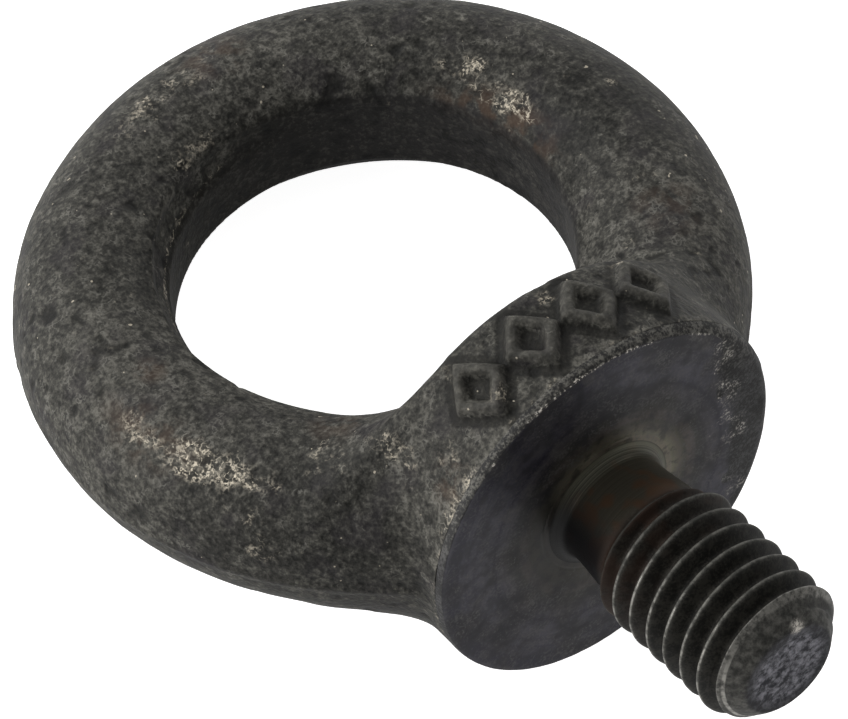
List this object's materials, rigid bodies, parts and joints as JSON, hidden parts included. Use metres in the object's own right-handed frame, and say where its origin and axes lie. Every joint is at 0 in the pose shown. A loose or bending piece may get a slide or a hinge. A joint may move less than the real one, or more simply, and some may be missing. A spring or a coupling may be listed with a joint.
{
  "type": "lifting eye bolt",
  "caption": "Forged lifting eye bolt: a round closed eye on a collar with a machined underside, an undercut and a short right-hand metric thread.",
  "frame": {"origin": "centre of the flat machined face under the collar, on the thread axis", "axes": "+Z runs along the thread axis from the point towards the eye; the eye lies in the XZ plane and its own axis is Y"},
  "size_m": [0.0364, 0.0203, 0.0497],
  "materials": {
    "forged_scale": "as-forged carbon steel with dark grey mottled scale, fine pitting and pale rubbed spots",
    "machined_face": "turned steel, blackened, with fine concentric tool marks and a bluish to olive tint",
    "thread_steel": "blackened thread with dark roots and pale worn crests"
  },
  "bodies": {
    "root": {"eye_ring": "forged_scale", "left_arm": "forged_scale", "right_arm": "forged_scale", "throat": "forged_scale", "collar": "forged_scale", "machined_flat": "machined_face", "relief_neck": "machined_face", "threaded_shank": "thread_steel", "lead_point": "thread_steel", "forging_pads": "forged_scale", "flash_line": "forged_scale"}
  },
  "joints": []
}
